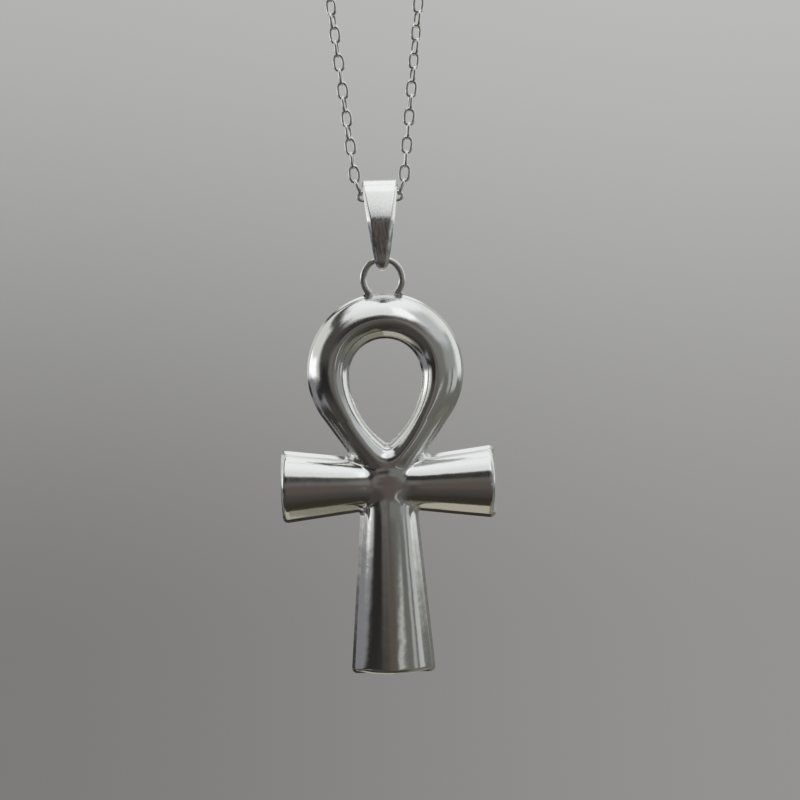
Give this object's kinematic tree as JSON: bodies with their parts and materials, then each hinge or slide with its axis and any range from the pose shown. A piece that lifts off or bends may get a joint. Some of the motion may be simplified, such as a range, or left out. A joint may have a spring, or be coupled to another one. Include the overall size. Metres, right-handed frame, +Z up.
{
  "type": "ankh pendant on a chain",
  "caption": "Silver-coloured ankh pendant with a domed front and a flat back, hung by a soldered ring and a tapered bail from a fine cable chain that forms a whole necklace.",
  "frame": {"origin": "top of the necklace's loop, on the middle line of the chain, where a neck, hook or peg holds it", "axes": "+Z up, the pendant's domed front faces -Y, +X to the right of someone who looks at the front"},
  "size_m": [0.0482, 0.0047, 0.2733],
  "materials": {
    "polished_silver": "polished silver with fine scratches",
    "bail_silver": "polished silver with fine upright brushing",
    "chain_silver": "polished silver wire",
    "clasp_silver": "polished silver"
  },
  "bodies": {
    "necklace": {"chain_left": "chain_silver", "chain_right": "chain_silver", "clasp": "clasp_silver", "jump_ring_left": "clasp_silver", "jump_ring_right": "clasp_silver"},
    "bail": {"bail": "bail_silver"},
    "cross": {"ankh": "polished_silver"}
  },
  "joints": [
    {"name": "bail_swing", "type": "hinge", "parent": "necklace", "child": "bail", "pos_m": [0, 0, -0.2092], "axis": [1, 0, 0], "range_deg": [-90, 90]},
    {"name": "cross_swing", "type": "hinge", "parent": "bail", "child": "cross", "pos_m": [0, 0, -0.21744], "axis": [1, 0, 0], "range_deg": [-90, 90]}
  ]
}
